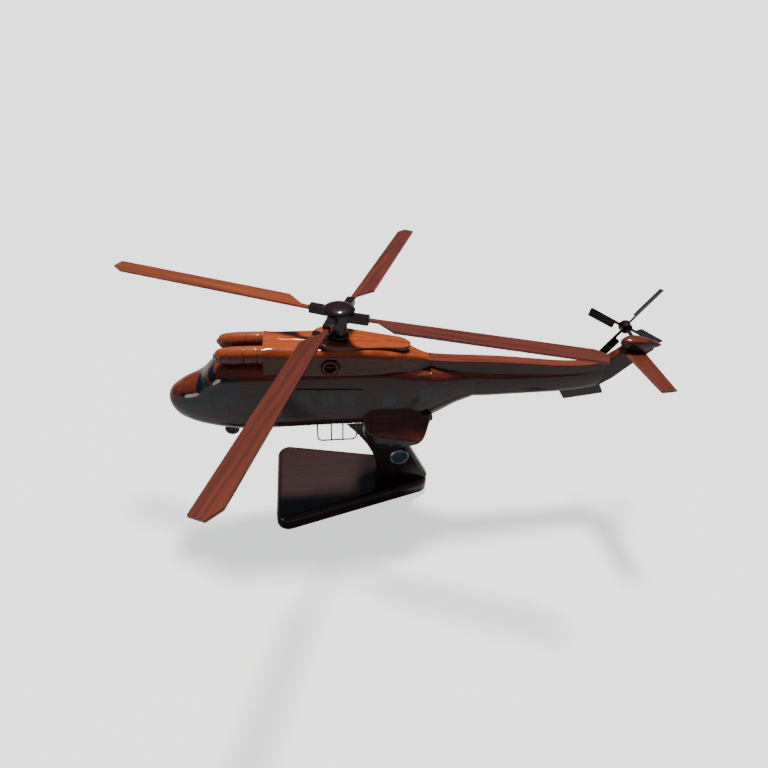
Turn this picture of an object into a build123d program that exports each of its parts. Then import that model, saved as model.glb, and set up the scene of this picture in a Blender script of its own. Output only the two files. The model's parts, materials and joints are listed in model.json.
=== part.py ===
from build123d import *

from math import cos, hypot, pi, radians, sin
import os

# A varnished hardwood desk model of a transport helicopter on its stand.
# In millimetres: +Z is up, the nose points to -X, the tail to +X and port is -Y.
# The origin is on the underside of the base, straight below the main rotor's axis.

os.makedirs("parts", exist_ok=True)

# ---------------------------------------------------------------- driving dimensions
rotor_height = 195.0        # middle of the blades above the desk

nose_x = -133.6
cabin_half_width = 23.75
belly_z = 97.5
spine_x = 74.0              # where the cowl ends and the boom's spine starts
boom_x = 114.5              # glue joint between the cabin and the tail boom
boom_end_x = 232.0          # glue joint between the boom and the tail pylon
nacelle_end_x = -57.3       # joint between the nacelles and the cowl

# the joint between the cabin and the engine cowl, front to back
deck_line = [(nacelle_end_x, 154.8), (0.0, 152.0), (44.0, 151.2), (spine_x, 145.5)]

base_front_x = -59.0
base_rear_x = 84.5
base_front_half = 50.0
base_rear_half = 15.9
base_shift_y = 3.0          # the base was glued a little to starboard
base_turn = 1.5             # and a little out of square, in degrees
base_corner = 11.0
felt_thickness = 1.0
base_top_z = 15.0

running_gap = 0.05          # radial clearance of a turning fit
reach = 60.0                # far enough to pass any part when cutting
sides = (("port", -1), ("starboard", 1))


def save(piece, name):
    """Labels a finished piece and writes it as its own node."""
    piece.part.label = name
    export_step(piece.part, f"parts/{name}.step")


def oval(low, middle, top, half, power, points=32, fine=25):
    """Evenly spaced points of a rounded section: one power curve above the widest line, one below."""
    outline = []
    for i in range(points * fine + 1):
        angle = 2 * pi * i / (points * fine) - pi / 2
        across = cos(angle)
        along = sin(angle)
        height = (top - middle) if along > 0 else (middle - low)
        y = half * abs(across) ** (2 / power) * (1 if across >= 0 else -1)
        z = middle + height * abs(along) ** (2 / power) * (1 if along >= 0 else -1)
        outline.append((y, z))
    walked = [0.0]
    for (y0, z0), (y1, z1) in zip(outline, outline[1:]):
        walked.append(walked[-1] + hypot(y1 - y0, z1 - z0))
    even = []
    for i in range(points):
        target = walked[-1] * i / points
        step = next(k for k in range(1, len(walked)) if walked[k] > target)
        share = (target - walked[step - 1]) / (walked[step] - walked[step - 1])
        (y0, z0), (y1, z1) = outline[step - 1], outline[step]
        even.append((y0 + (y1 - y0) * share, z0 + (z1 - z0) * share))
    return even


def ring(points):
    """A closed spline with its points evenly spaced along its parameter, so that sections agree."""
    steps = [i / len(points) for i in range(len(points) + 1)]
    return Edge.make_spline([Vector(*point) for point in points], periodic=True, parameters=steps)


# ---------------------------------------------------------------- base and stand
upright_half = 6.0
upright_top_z = 104.0
medallion_radius = 9.0
medallion_place = (55.0, 45.0)

base_outline = [
    (base_front_x, -base_front_half),
    (base_rear_x, -base_rear_half),
    (base_rear_x, base_rear_half),
    (base_front_x, base_front_half),
]
screw_places = [(48.0, 0.0), (70.0, 0.0)]
screw_shank = 1.6
screw_head = 3.5
screw_head_depth = 2.0
screw_top_z = 30.0
stand_dowel_places = [(16.0, 0.0), (31.0, 0.0)]
stand_dowel_radius = 2.0
stand_dowel_low = 84.0
stand_dowel_high = 112.0

base_seat = Plane((0, base_shift_y, 0)).rotated((0, 0, base_turn))

with BuildPart() as base_felt:
    with BuildSketch(base_seat):
        with BuildLine():
            Polyline(*base_outline, close=True)
        make_face()
        fillet(vertices(), radius=base_corner)
        offset(amount=-2.5, mode=Mode.REPLACE)
    extrude(amount=felt_thickness)
save(base_felt, "base_felt")

with BuildPart() as stand_screws:
    for x, y in screw_places:
        with BuildSketch(Plane((x, y, felt_thickness), x_dir=(1, 0, 0), z_dir=(0, -1, 0))):
            with BuildLine():
                Polyline(
                    (0, 0.2),
                    (screw_head, 0.2),
                    (screw_shank, 0.2 + screw_head_depth),
                    (screw_shank, screw_top_z - 2.0),
                    (0, screw_top_z),
                    close=True,
                )
            make_face()
        revolve(axis=Axis((x, y, 0), (0, 0, 1)))
save(stand_screws, "stand_screws")

with BuildPart() as stand_dowels:
    with BuildSketch(Plane.XY.offset(stand_dowel_low)):
        with Locations(*stand_dowel_places):
            Circle(stand_dowel_radius)
    extrude(amount=stand_dowel_high - stand_dowel_low)
save(stand_dowels, "stand_dowels")

with BuildPart() as base_plate:
    with BuildSketch(base_seat.offset(felt_thickness)):
        with BuildLine():
            Polyline(*base_outline, close=True)
        make_face()
        fillet(vertices(), radius=base_corner)
    extrude(amount=base_top_z - felt_thickness)
    fillet(base_plate.faces().sort_by(Axis.Z)[-1].edges(), radius=5.0)
    fillet(base_plate.faces().sort_by(Axis.Z)[0].edges(), radius=1.2)
    with BuildSketch(Plane.XY.offset(felt_thickness)):
        with Locations(*screw_places):
            Circle(screw_head)
    extrude(amount=0.2, mode=Mode.SUBTRACT)
    add(stand_screws.part, mode=Mode.SUBTRACT)
save(base_plate, "base_plate")

# ---------------------------------------------------------------- tail boom and its spine
# x, half width, top z
spine_sections = [
    (spine_x, 5.9, 154.5),
    (114.0, 5.7, 151.2),
    (160.0, 5.2, 147.2),
    (206.0, 4.6, 143.2),
    (boom_end_x + 4, 4.0, 147.5),
]
spine_bottom = [(spine_x, deck_line[-1][1]), (boom_x, 138.0), (boom_end_x + 4, 130.0)]
spine_flare = 1.2           # how much wider each side is where it is let in
dowel_radius = 1.5
boom_dowel_places = [(-4.0, 124.0), (4.0, 124.0)]
boom_dowel_half = 8.0
pylon_dowel_z = 126.0
pylon_dowel_half = 5.0

# the spine is a long tapered strip let into the top of the cabin's tail and of the boom
with BuildPart() as boom_spine:
    for x, half, top in spine_sections:
        with BuildSketch(Plane.YZ.offset(x)):
            with BuildLine():
                Polyline(
                    (-half - spine_flare, 120.0),
                    (half + spine_flare, 120.0),
                    (half, top),
                    (-half, top),
                    close=True,
                )
            make_face()
            fillet(vertices().sort_by(Axis.Y)[-2:], radius=1.2)
    loft()
    with BuildSketch(Plane.XZ):
        with BuildLine():
            Polyline(*spine_bottom, (boom_end_x + 4, 100.0), (spine_x, 100.0), close=True)
        make_face()
    extrude(amount=reach, both=True, mode=Mode.SUBTRACT)
    split(bisect_by=Plane.YZ.offset(boom_end_x), keep=Keep.BOTTOM)
save(boom_spine, "boom_spine")

with BuildPart() as boom_dowels:
    with BuildSketch(Plane.YZ.offset(boom_x)):
        with Locations(*boom_dowel_places):
            Circle(dowel_radius)
    extrude(amount=boom_dowel_half, both=True)
    with BuildSketch(Plane.YZ.offset(boom_end_x)):
        with Locations((0, pylon_dowel_z)):
            Circle(dowel_radius)
    extrude(amount=pylon_dowel_half, both=True)
save(boom_dowels, "boom_dowels")

boom_sections = [
    (boom_x, 113.8, 129.0, 141.6, 9.8, 2.6),
    (150.0, 113.6, 127.5, 138.6, 8.8, 2.6),
    (195.0, 114.2, 126.0, 137.0, 7.0, 2.6),
    (215.0, 115.4, 128.0, 138.0, 6.0, 2.6),
    (boom_end_x, 118.6, 132.0, 142.0, 5.0, 2.6),
]
with BuildPart() as tail_boom:
    for x, *shape in boom_sections:
        with BuildSketch(Plane.YZ.offset(x)):
            with BuildLine():
                add(ring(oval(*shape)))
            make_face()
    loft()
    add(boom_spine.part, mode=Mode.SUBTRACT)
    add(boom_dowels.part, mode=Mode.SUBTRACT)
save(tail_boom, "tail_boom")

# ---------------------------------------------------------------- cabin body
# x, lowest z, widest z, highest z, half width, squareness
fuselage_sections = [
    (nose_x, 122.6, 123.0, 123.4, 0.4, 2.0),
    (-133.0, 118.6, 123.0, 127.2, 4.2, 2.0),
    (-131.0, 112.8, 123.0, 131.2, 8.0, 2.05),
    (-127.0, 107.0, 122.6, 134.8, 11.4, 2.1),
    (-120.0, 102.6, 122.2, 139.2, 14.8, 2.2),
    (-112.0, 99.8, 122.0, 142.6, 17.3, 2.35),
    (-106.0, 98.6, 122.5, 146.0, 18.8, 2.5),
    (-99.0, 97.9, 123.0, 152.8, 20.2, 2.8),
    (-92.0, 97.6, 123.5, 157.4, 21.5, 3.1),
    (-84.0, belly_z, 124.0, 159.2, 22.6, 3.5),
    (-70.0, belly_z, 124.0, 160.0, 23.5, 3.75),
    (-45.0, belly_z, 124.0, 160.0, cabin_half_width, 3.75),
    (0.0, belly_z, 124.0, 160.0, cabin_half_width, 3.75),
    (38.0, belly_z, 124.0, 159.0, cabin_half_width, 3.75),
    (58.0, belly_z, 124.0, 154.0, 22.6, 3.6),
    (74.0, 97.8, 124.5, 148.5, 19.0, 3.2),
    (88.0, 102.5, 126.5, 145.0, 15.0, 2.9),
    (102.0, 109.0, 128.5, 142.8, 11.8, 2.7),
    (boom_x, 113.8, 129.0, 141.6, 9.8, 2.6),
]
inlay_depth = 0.8           # how deep panes and door lines are let into the sides
nose_stations_left_out = 3  # the inlay skin starts behind the very tip

with BuildPart(mode=Mode.PRIVATE) as cabin_block:
    for x, *shape in fuselage_sections:
        with BuildSketch(Plane.YZ.offset(x)):
            with BuildLine():
                add(ring(oval(*shape)))
            make_face()
    loft()

with BuildPart(mode=Mode.PRIVATE) as cabin_core:
    for x, low, middle, top, half, power in fuselage_sections[nose_stations_left_out:]:
        inner = (low + inlay_depth, middle, top - inlay_depth, half - inlay_depth, power)
        with BuildSketch(Plane.YZ.offset(x)):
            with BuildLine():
                add(ring(oval(*inner)))
            make_face()
    loft()

# side-view outlines of the cockpit glazing: the sill runs from the middle of the nose round and aft
windscreen_sill = [
    (-105.9, 146.6),
    (-107.5, 144.8),
    (-108.9, 142.0),
    (-109.4, 138.9),
    (-108.2, 136.2),
    (-105.8, 134.2),
    (-102.2, 132.7),
    (-97.3, 131.3),
    (-88.0, 130.7),
    (-76.2, 130.6),
]
side_pane_top = [(-75.2, 150.1), (-80.2, 151.4), (-85.5, 152.0), (-91.0, 151.9)]
pillar_edge = [(-92.3, 151.8), (-92.8, 153.0), (-94.7, 154.3), (-95.0, 155.3), (-94.8, 156.4)]
bar_low_edge = [
    (-103.4, 152.0),
    (-101.2, 148.3),
    (-100.0, 146.7),
    (-97.4, 145.1),
    (-94.1, 144.5),
    (-86.2, 144.1),
    (-80.0, 143.9),
    (-74.0, 143.7),
]
bar_high_edge = [
    (-74.0, 145.0),
    (-80.0, 145.1),
    (-86.1, 145.3),
    (-93.9, 146.7),
    (-98.6, 149.2),
    (-99.3, 152.4),
    (-100.2, 155.0),
]
pillar_bar = [(-92.5, 152.4), (-90.9, 152.4), (-93.3, 145.6), (-94.9, 146.0)]
front_post = [(-95.3, 145.0), (-94.0, 145.0), (-97.3, 130.0), (-98.4, 130.0)]
rear_post = [(-87.1, 145.0), (-86.1, 145.0), (-83.8, 130.0), (-84.8, 130.0)]
chin_top = [(-122.4, 133.1), (-117.1, 134.8), (-112.6, 136.3)]
chin_under_sill = [(-112.6, 136.3), (-110.4, 134.0), (-106.4, 131.7), (-98.3, 129.4), (-87.1, 128.5)]
chin_bottom = [(-87.4, 118.1), (-98.1, 118.6), (-106.5, 119.7), (-114.5, 120.8), (-123.1, 122.1)]
chin_post = [(-98.2, 130.0), (-97.2, 130.0), (-97.8, 117.0), (-98.8, 117.0)]

# centre of each cabin window, front to back
window_centres = [(-43.2, 133.2), (-29.0, 132.5), (-9.0, 131.4), (6.0, 130.7), (38.9, 129.5), (69.4, 130.0)]
window_width = 10.0
window_height = 12.6
door_front_x = -18.4
door_rear_x = 14.0
door_low_z = 105.0
door_high_z = 140.3
door_line = 0.5

with BuildPart(mode=Mode.PRIVATE) as cockpit_glass:
    with BuildSketch(Plane.XZ):
        with BuildLine():
            sill = Spline(*windscreen_sill)
            Line(sill @ 1, side_pane_top[0])
            side_top = Spline(*side_pane_top)
            Line(side_top @ 1, pillar_edge[0])
            pillar = Spline(*pillar_edge)
            Polyline(pillar @ 1, (-94.8, 160.0), (-104.0, 160.0), (-109.0, 150.0), sill @ 0)
        make_face()
        with BuildLine():
            low_edge = Spline(*bar_low_edge)
            Line(low_edge @ 1, bar_high_edge[0])
            high_edge = Spline(*bar_high_edge)
            Line(high_edge @ 1, low_edge @ 0)
        make_face(mode=Mode.SUBTRACT)
        for bar in (pillar_bar, front_post, rear_post):
            with BuildLine():
                Polyline(*bar, close=True)
            make_face(mode=Mode.SUBTRACT)
    with BuildSketch(Plane.XZ):
        with BuildLine():
            top_edge = Spline(*chin_top)
            sill_edge = Spline(*chin_under_sill)
            Line(sill_edge @ 1, chin_bottom[0])
            bottom_edge = Spline(*chin_bottom)
            Line(bottom_edge @ 1, top_edge @ 0)
        make_face()
        with BuildLine():
            Polyline(*chin_post, close=True)
        make_face(mode=Mode.SUBTRACT)
    extrude(amount=reach, both=True)
    add(cabin_block.part, mode=Mode.INTERSECT)
    add(cabin_core.part, mode=Mode.SUBTRACT)

with BuildPart(mode=Mode.PRIVATE) as cabin_windows:
    with BuildSketch(Plane.XZ):
        with Locations(*window_centres):
            RectangleRounded(window_width, window_height, 1.5)
    extrude(amount=reach, both=True)
    add(cabin_block.part, mode=Mode.INTERSECT)
    add(cabin_core.part, mode=Mode.SUBTRACT)

with BuildPart(mode=Mode.PRIVATE) as door_lines:
    with BuildSketch(Plane.XZ):
        door_width = door_rear_x - door_front_x
        door_height = door_high_z - door_low_z
        with Locations(((door_front_x + door_rear_x) / 2, (door_low_z + door_high_z) / 2)):
            Rectangle(door_width + door_line, door_height + door_line)
            Rectangle(door_width - door_line, door_height - door_line, mode=Mode.SUBTRACT)
    extrude(amount=reach, both=True)
    add(cabin_block.part, mode=Mode.INTERSECT)
    add(cabin_core.part, mode=Mode.SUBTRACT)


def save_panes(glass, name, wanted):
    """Writes the panes of a glazing block whose centres are wanted as one node."""
    with BuildPart() as panes:
        add(glass.part.solids().filter_by(lambda pane: wanted(pane.center())))
    save(panes, name)


pane_split_z = 129.6        # chin panes lie below this, side panes above
bar_split_z = 148.5         # the upper windscreen lies above this
save_panes(cockpit_glass, "windscreen_lower", lambda c: abs(c.Y) < 1 and c.Z < bar_split_z)
save_panes(cockpit_glass, "windscreen_upper", lambda c: abs(c.Y) < 1 and c.Z > bar_split_z)
for side, sign in sides:
    save_panes(cockpit_glass, f"side_panes_{side}", lambda c: sign * c.Y > 1 and c.Z > pane_split_z)
    save_panes(cockpit_glass, f"chin_panes_{side}", lambda c: sign * c.Y > 1 and c.Z < pane_split_z)
    save_panes(cabin_windows, f"cabin_windows_{side}", lambda c: sign * c.Y > 1)

nacelle_axis_y = 10.3
nacelle_axis_z = 166.7
nacelle_tip_x = -93.6
nacelle_radius = 7.05
with BuildPart(mode=Mode.PRIVATE) as nacelle_seats:
    with BuildSketch(Plane.YZ.offset(nacelle_tip_x)):
        with Locations((-nacelle_axis_y, nacelle_axis_z), (nacelle_axis_y, nacelle_axis_z)):
            Circle(nacelle_radius + 0.02)
    extrude(amount=nacelle_end_x - nacelle_tip_x)

with BuildPart(mode=Mode.PRIVATE) as deck_volume:
    with BuildSketch(Plane.XZ):
        with BuildLine():
            Polyline(*deck_line, (spine_x, 250.0), (nacelle_end_x, 250.0), close=True)
        make_face()
    extrude(amount=reach, both=True)

# ---------------------------------------------------------------- boarding steps
step_y = 20.0
step_front_x = -19.0
step_rear_x = 13.3
step_low_z = 84.8
step_high_z = 104.5
step_corner = 4.0
step_struts_x = (-7.7, 1.8)
step_wire = 0.6

step_wires = {}
for side, sign in sides:
    with BuildPart() as step:
        with BuildLine(Plane((0, sign * step_y, 0), x_dir=(1, 0, 0), z_dir=(0, -1, 0))) as frame_line:
            FilletPolyline(
                (step_front_x, step_high_z),
                (step_front_x, step_low_z),
                (step_rear_x, step_low_z),
                (step_rear_x, step_high_z),
                radius=step_corner,
            )
        with BuildSketch(Plane((step_front_x, sign * step_y, step_high_z), z_dir=(0, 0, -1))):
            Circle(step_wire)
        sweep(path=frame_line.line)
        with BuildSketch(Plane.XY.offset(step_low_z)):
            with Locations(*[(x, sign * step_y) for x in step_struts_x]):
                Circle(step_wire * 0.9)
        extrude(amount=step_high_z - step_low_z)
    step_wires[side] = step
    save(step, f"boarding_step_{side}")

# ---------------------------------------------------------------- nose gear
nose_gear_x = -89.5
nose_axle_z = 90.0
nose_wheel_radius = 5.9
nose_wheel_width = 3.0
nose_wheel_y = 5.5
nose_axle_radius = 0.9
nose_leg_radius = 1.7
nose_leg_top_z = 103.0
with BuildPart() as nose_leg:
    with BuildSketch(Plane.XY.offset(nose_axle_z)):
        with Locations((nose_gear_x, 0)):
            Circle(nose_leg_radius)
    extrude(amount=nose_leg_top_z - nose_axle_z)
    with BuildSketch(Plane.XZ):
        with Locations((nose_gear_x, nose_axle_z)):
            Circle(2.3)
    extrude(amount=nose_wheel_y - nose_wheel_width / 2 - 0.4, both=True)
    with BuildSketch(Plane.XZ):
        with BuildLine():
            Polyline(
                (nose_gear_x, 92.4),
                (nose_gear_x, 94.2),
                (-82.6, nose_leg_top_z - 1),
                (-80.8, nose_leg_top_z - 1),
                close=True,
            )
        make_face()
    extrude(amount=0.8, both=True)
    with BuildSketch(Plane.XZ):
        with Locations((nose_gear_x, nose_axle_z)):
            Circle(nose_axle_radius + running_gap)
    extrude(amount=reach, both=True, mode=Mode.SUBTRACT)

# ---------------------------------------------------------------- the finished cabin body
with BuildPart() as fuselage:
    add(cabin_block.part)
    add(deck_volume.part, mode=Mode.SUBTRACT)
    add(boom_spine.part, mode=Mode.SUBTRACT)
    for cut in (nacelle_seats, cockpit_glass, cabin_windows, door_lines, boom_dowels, stand_dowels):
        add(cut.part, mode=Mode.SUBTRACT)
    for wire in step_wires.values():
        add(wire.part, mode=Mode.SUBTRACT)
    add(nose_leg.part, mode=Mode.SUBTRACT)
save(fuselage, "fuselage")
save(nose_leg, "nose_leg")

with BuildPart() as stand_upright:
    with BuildSketch(Plane.XZ):
        with BuildLine():
            front = Spline((33.5, base_top_z), (32.6, 42.0), (24.0, 62.0), (9.0, 83.0), (-11.0, upright_top_z))
            Polyline(front @ 1, (38.5, upright_top_z), (85.0, base_top_z), front @ 0)
        make_face()
    extrude(amount=upright_half, both=True)
    chamfer(stand_upright.edges().filter_by(lambda e: e.length > reach and abs(e.center().Y) > 1), length=2.6)
    add(cabin_block.part, mode=Mode.SUBTRACT)
    add(stand_dowels.part, mode=Mode.SUBTRACT)
    add(stand_screws.part, mode=Mode.SUBTRACT)
save(stand_upright, "stand_upright")

with BuildPart() as stand_medallion:
    disc_plane = Plane((medallion_place[0], -upright_half, medallion_place[1]), x_dir=(1, 0, 0), z_dir=(0, -1, 0))
    with BuildSketch(disc_plane):
        Circle(medallion_radius)
    extrude(amount=1.0)
    with BuildSketch(disc_plane.offset(1.0)):
        Circle(medallion_radius - 1.2)
    extrude(amount=-0.4, mode=Mode.SUBTRACT)
save(stand_medallion, "stand_medallion")

with BuildPart() as nose_axle:
    with BuildSketch(Plane((nose_gear_x, 0, nose_axle_z), x_dir=(1, 0, 0), z_dir=(0, -1, 0))):
        Circle(nose_axle_radius)
    extrude(amount=nose_wheel_y + nose_wheel_width / 2 - 0.5, both=True)
save(nose_axle, "nose_axle")

for side, sign in sides:
    with BuildPart() as nose_wheel:
        wheel_plane = Plane((nose_gear_x, sign * nose_wheel_y, nose_axle_z), x_dir=(1, 0, 0), z_dir=(0, -1, 0))
        with BuildSketch(wheel_plane):
            Circle(nose_wheel_radius)
        extrude(amount=nose_wheel_width / 2, both=True)
        fillet(nose_wheel.edges(), radius=1.0)
        outer_face = wheel_plane.offset(-sign * nose_wheel_width / 2)
        with BuildSketch(outer_face):
            Circle(3.2)
            Circle(1.4, mode=Mode.SUBTRACT)
        extrude(amount=sign * 0.5, mode=Mode.SUBTRACT)
        add(nose_axle.part, mode=Mode.SUBTRACT)
    save(nose_wheel, f"nose_wheel_{side}")

# the sliding door's rail falls a little towards the tail, as the deck does
rail_low_edge = [(-34.0, 142.0), (17.0, 139.6)]
rail_height = 1.0
for side, sign in sides:
    with BuildPart() as door_rail:
        with BuildSketch(Plane((0, sign * 22.0, 0), x_dir=(1, 0, 0), z_dir=(0, -1, 0))):
            with BuildLine():
                (x0, z0), (x1, z1) = rail_low_edge
                Polyline((x0, z0), (x1, z1), (x1, z1 + rail_height), (x0, z0 + rail_height), close=True)
            make_face()
        extrude(amount=-sign * 2.3)
        add(cabin_block.part, mode=Mode.SUBTRACT)
    save(door_rail, f"door_rail_{side}")

# ---------------------------------------------------------------- gearbox fairing
fairing_slope = 0.123       # its flat top falls towards the tail
fairing_top_z = 175.1       # above the rotor axis
fairing_depth = 12.0
fairing_inset = 0.86        # the lower outline against the upper one
fairing_middle_x = 18.0
# x and half width round the flat top, front to back
fairing_outline = [
    (-21.5, 0.0),
    (-19.5, 7.5),
    (-14.0, 13.2),
    (-4.0, 15.3),
    (10.0, 14.0),
    (26.0, 11.8),
    (42.0, 9.4),
    (53.0, 6.6),
    (57.5, 0.0),
]
mast_radius = 6.35
mast_foot_z = 166.5
mast_top_z = 189.4
collar_radius = 8.3
collar_low_z = 173.4
collar_high_z = 178.6
spindle_radius = 1.5
spindle_low_z = 174.0
spindle_high_z = 197.0
rotor_gap = 0.1             # air between the fixed mast and the turning washer


def fairing_plane(depth):
    """The sloping plane of the fairing's top, moved down by depth."""
    origin = (fairing_middle_x, 0, fairing_top_z - fairing_slope * fairing_middle_x - depth)
    return Plane(origin, x_dir=(1, 0, -fairing_slope), z_dir=(fairing_slope, 0, 1))


with BuildPart(mode=Mode.PRIVATE) as fairing_block:
    for depth, scale in ((fairing_depth, fairing_inset), (5.0, 0.97), (0.0, 1.0)):
        with BuildSketch(fairing_plane(depth)):
            with BuildLine():
                port_edge = [((x - fairing_middle_x) * scale, -y * scale) for x, y in fairing_outline]
                far_edge = [(x, -y) for x, y in reversed(port_edge[1:-1])]
                Spline(*port_edge, *far_edge, periodic=True)
            make_face()
    loft()
    fillet(fairing_block.faces().sort_by(Axis.Z)[-1].edges(), radius=0.8)

with BuildPart() as rotor_mast:
    with BuildSketch(Plane.XY.offset(mast_foot_z)):
        Circle(mast_radius)
    extrude(amount=mast_top_z - mast_foot_z)
    chamfer(rotor_mast.edges().sort_by(Axis.Z)[-1], length=0.6)
    with BuildSketch(Plane.XY.offset(spindle_low_z - rotor_gap)):
        Circle(spindle_radius + running_gap)
    extrude(amount=reach, mode=Mode.SUBTRACT)
save(rotor_mast, "rotor_mast")

with BuildPart() as mast_collar:
    with BuildSketch(Plane.XY.offset(collar_low_z)):
        Circle(collar_radius)
        Circle(mast_radius, mode=Mode.SUBTRACT)
    extrude(amount=collar_high_z - collar_low_z)
    chamfer(mast_collar.edges().group_by(Axis.Z)[-1].sort_by(SortBy.LENGTH)[-1], length=0.8)
save(mast_collar, "mast_collar")

with BuildPart() as gearbox_fairing:
    add(fairing_block.part)
    with BuildSketch(Plane.XY.offset(mast_foot_z)):
        Circle(mast_radius)
    extrude(amount=reach, mode=Mode.SUBTRACT)
    with BuildSketch(Plane.XY.offset(collar_low_z)):
        Circle(collar_radius)
    extrude(amount=reach, mode=Mode.SUBTRACT)
save(gearbox_fairing, "gearbox_fairing")

# ---------------------------------------------------------------- exhausts
exhaust_x = -7.6
exhaust_z = 159.4
exhaust_outer = 6.3
exhaust_bore = 4.35
exhaust_lip_y = 20.6
exhaust_depth = 6.0
for side, sign in sides:
    with BuildPart() as exhaust_ring:
        mouth = Plane((exhaust_x, sign * exhaust_lip_y, exhaust_z), x_dir=(1, 0, 0), z_dir=(0, sign, 0))
        with BuildSketch(mouth):
            Circle(exhaust_outer)
            Circle(exhaust_bore, mode=Mode.SUBTRACT)
        extrude(amount=-exhaust_depth)
        lip = exhaust_ring.edges().filter_by(GeomType.CIRCLE).group_by(Axis.Y)[-1 if sign > 0 else 0]
        fillet(lip, radius=0.6)
    save(exhaust_ring, f"exhaust_{side}")

# ---------------------------------------------------------------- engine cowl
# x, half width at the joint, half width at the shoulder, top z, shoulder radius
cowl_sections = [
    (nacelle_end_x, 20.3, 17.4, 173.7, 7.0),
    (-30.0, 20.5, 17.4, 172.8, 7.0),
    (0.0, 20.5, 17.4, 172.2, 7.0),
    (22.0, 20.4, 16.8, 170.5, 6.5),
    (40.0, 18.8, 14.6, 167.0, 5.0),
    (57.0, 13.4, 9.4, 161.5, 3.5),
    (spine_x, 6.4, 5.9, 154.5, 1.2),
]
hidden_z = 140.0            # the cowl is drawn down to here, then cut along the joint
cowl_knee_z = 153.0         # its sides are upright below this
nacelle_dowel_half = 8.0

with BuildPart() as nacelle_dowels:
    with BuildSketch(Plane.YZ.offset(nacelle_end_x)):
        with Locations((-nacelle_axis_y, nacelle_axis_z), (nacelle_axis_y, nacelle_axis_z)):
            Circle(dowel_radius)
    extrude(amount=nacelle_dowel_half, both=True)
save(nacelle_dowels, "nacelle_dowels")

with BuildPart() as engine_cowl:
    for x, low_half, high_half, top, radius in cowl_sections:
        knee = cowl_knee_z if x < deck_line[2][0] else deck_line[-1][1] + 3.0
        with BuildSketch(Plane.YZ.offset(x)):
            with BuildLine():
                Polyline(
                    (-low_half, hidden_z),
                    (low_half, hidden_z),
                    (low_half, knee),
                    (high_half, top),
                    (-high_half, top),
                    (-low_half, knee),
                    close=True,
                )
            make_face()
            fillet(vertices().sort_by(Axis.Y)[-2:], radius=radius)
    loft()
    add(deck_volume.part, mode=Mode.INTERSECT)
    # the seam between the two engine humps
    with BuildSketch(Plane.YZ.offset(nacelle_end_x)):
        with BuildLine():
            Polyline((-1.6, 175.0), (0.0, 172.2), (1.6, 175.0), close=True)
        make_face()
    extrude(amount=fairing_middle_x - nacelle_end_x, mode=Mode.SUBTRACT)
    add(fairing_block.part, mode=Mode.SUBTRACT)
    with BuildSketch(Plane.XZ):
        with Locations((exhaust_x, exhaust_z)):
            Circle(exhaust_outer)
    pocket_floor = exhaust_lip_y - exhaust_depth
    pockets = extrude(amount=reach, both=True, mode=Mode.PRIVATE)
    for side, sign in sides:
        with Locations((0, sign * (pocket_floor + reach), 0)):
            add(pockets, mode=Mode.SUBTRACT)
    add(nacelle_dowels.part, mode=Mode.SUBTRACT)
save(engine_cowl, "engine_cowl")

# ---------------------------------------------------------------- nacelles
nacelle_grooves = (-82.3, -70.9, -60.9)
# distance behind the tip, radius
nacelle_profile = [
    (0.0, 0.0),
    (0.3, 1.2),
    (1.0, 2.2),
    (1.7, 2.7),
    (2.3, 3.9),
    (3.6, 5.0),
    (6.0, 5.9),
    (10.0, 6.5),
    (16.0, 6.95),
    (22.0, nacelle_radius),
]
for side, sign in sides:
    with BuildPart() as nacelle:
        tip = (nacelle_tip_x, sign * nacelle_axis_y, nacelle_axis_z)
        with BuildSketch(Plane(tip, x_dir=(1, 0, 0), z_dir=(0, -1, 0))):
            with BuildLine():
                Spline(*nacelle_profile)
                Polyline(
                    nacelle_profile[-1],
                    (nacelle_end_x - nacelle_tip_x, nacelle_radius),
                    (nacelle_end_x - nacelle_tip_x, 0.0),
                    nacelle_profile[0],
                )
            make_face()
            for ring_x in nacelle_grooves:
                with Locations((ring_x - nacelle_tip_x, nacelle_radius)):
                    Rectangle(0.5, 0.9, mode=Mode.SUBTRACT)
        revolve(axis=Axis((0, sign * nacelle_axis_y, nacelle_axis_z), (1, 0, 0)))
        add(nacelle_dowels.part, mode=Mode.SUBTRACT)
    save(nacelle, f"nacelle_{side}")

# ---------------------------------------------------------------- sponsons
# x, outer y, top z against the cabin, z of the widest edge, lowest z
sponson_sections = [
    (18.0, 26.5, 113.0, 106.5, 101.5),
    (19.2, 32.0, 116.0, 106.5, 97.5),
    (22.5, 37.6, 119.0, 106.0, 94.6),
    (29.0, 41.4, 121.5, 105.0, 93.0),
    (40.0, 42.4, 122.0, 103.0, 92.2),
    (52.0, 42.2, 120.5, 101.0, 92.8),
    (64.0, 41.0, 113.5, 98.5, 95.0),
    (71.0, 31.5, 110.0, 101.2, 98.0),
    (77.0, 23.0, 108.0, 105.2, 103.0),
]
sponson_root_y = 17.0
sponson_hip_y = 22.0        # where the hollow flank starts, just inside the cabin side
for side, sign in sides:
    with BuildPart() as sponson:
        for x, outer, top, edge, low in sponson_sections:
            crease = (sign * outer, edge)
            hip = (sign * sponson_hip_y, top)
            hollow_y = sponson_hip_y + 0.42 * (outer - sponson_hip_y)
            hollow = (sign * hollow_y, (edge + top) / 2)
            root_low = (sign * sponson_root_y, low - 0.2)
            root_top = (sign * sponson_root_y, top)
            with BuildSketch(Plane.YZ.offset(x)):
                with BuildLine():
                    Spline(hip, hollow, crease)
                    Polyline(crease, (sign * (outer - 1.2), low), root_low, root_top, hip)
                make_face()
        loft()
        add(cabin_block.part, mode=Mode.SUBTRACT)
    save(sponson, f"sponson_{side}")

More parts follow.
